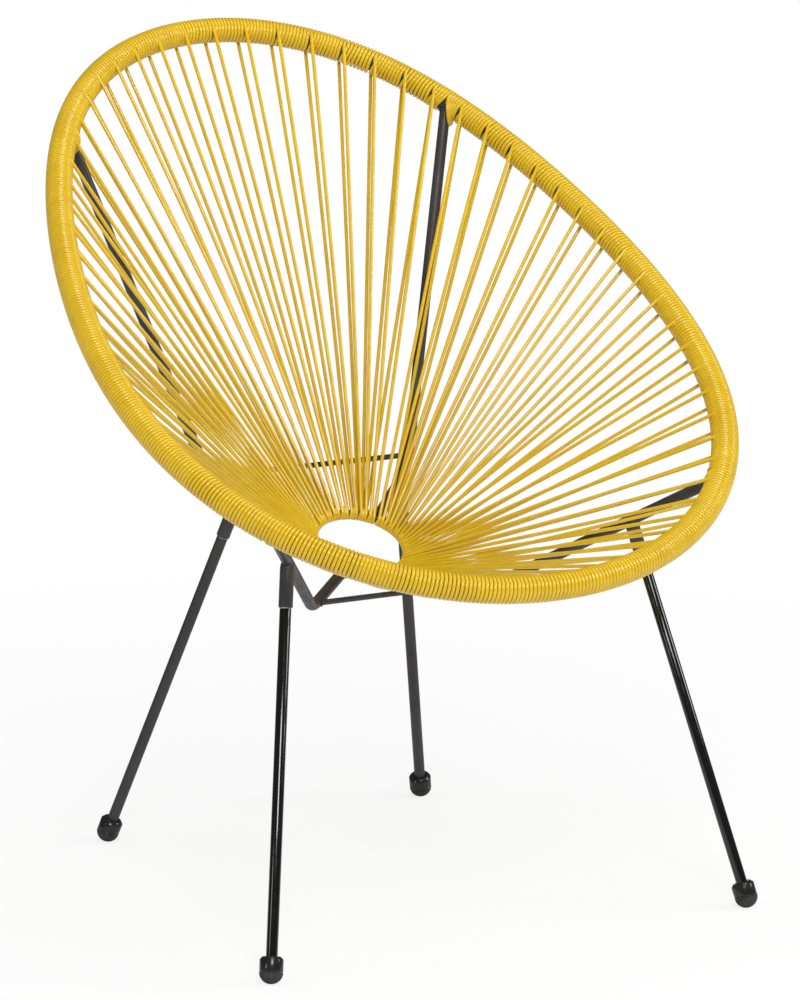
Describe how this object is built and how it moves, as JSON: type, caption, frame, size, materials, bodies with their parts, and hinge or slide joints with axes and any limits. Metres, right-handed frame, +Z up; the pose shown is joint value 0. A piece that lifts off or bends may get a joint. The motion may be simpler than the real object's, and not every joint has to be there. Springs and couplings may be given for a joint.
{
  "type": "acapulco chair",
  "caption": "Round woven lounge chair: an egg-shaped steel rim wound and strung with PVC cord to a ring under the seat, on splayed screw-in legs with domed feet.",
  "frame": {"origin": "on the floor, under the centre of the overall box, in the chair's middle plane", "axes": "+Z up, -Y the way the sitter faces, +X the sitter's left"},
  "size_m": [0.6994, 0.7861, 0.8786],
  "materials": {
    "cord": "glossy yellow PVC cord",
    "frame_paint": "satin anthracite powder coat",
    "front_leg_gloss": "glossy near-black powder coat",
    "foot_gloss": "glossy black plastic",
    "foot_pad": "matte black rubber",
    "zinc": "bright zinc plate"
  },
  "bodies": {
    "root": {"rim_hoop": "frame_paint", "front_cross_rod": "frame_paint", "back_cross_rod": "frame_paint", "centre_ring": "frame_paint", "front_arm_left": "frame_paint", "front_arm_right": "frame_paint", "back_arm_left": "frame_paint", "back_arm_right": "frame_paint", "cord_panel_back_1": "cord", "cord_panel_back_2": "cord", "cord_panel_back_3": "cord", "cord_panel_back_4": "cord", "cord_panel_back_5": "cord", "cord_panel_left_1": "cord", "cord_panel_left_2": "cord", "cord_panel_left_3": "cord", "cord_panel_left_4": "cord", "cord_panel_left_5": "cord", "cord_panel_front_1": "cord", "cord_panel_front_2": "cord", "cord_panel_front_3": "cord", "cord_panel_front_4": "cord", "cord_panel_front_5": "cord", "cord_panel_right_1": "cord", "cord_panel_right_2": "cord", "cord_panel_right_3": "cord", "cord_panel_right_4": "cord", "cord_panel_right_5": "cord", "leg_tube_front_left": "front_leg_gloss", "leg_socket_front_left": "frame_paint", "foot_collar_front_left": "foot_gloss", "foot_pad_front_left": "foot_pad", "leg_stud_front_left": "zinc", "socket_nut_front_left": "zinc", "leg_tube_front_right": "front_leg_gloss", "leg_socket_front_right": "frame_paint", "foot_collar_front_right": "foot_gloss", "foot_pad_front_right": "foot_pad", "leg_stud_front_right": "zinc", "socket_nut_front_right": "zinc", "leg_tube_back_left": "frame_paint", "leg_socket_back_left": "frame_paint", "foot_collar_back_left": "foot_gloss", "foot_pad_back_left": "foot_pad", "leg_stud_back_left": "zinc", "socket_nut_back_left": "zinc", "leg_tube_back_right": "frame_paint", "leg_socket_back_right": "frame_paint", "foot_collar_back_right": "foot_gloss", "foot_pad_back_right": "foot_pad", "leg_stud_back_right": "zinc", "socket_nut_back_right": "zinc"}
  },
  "joints": []
}
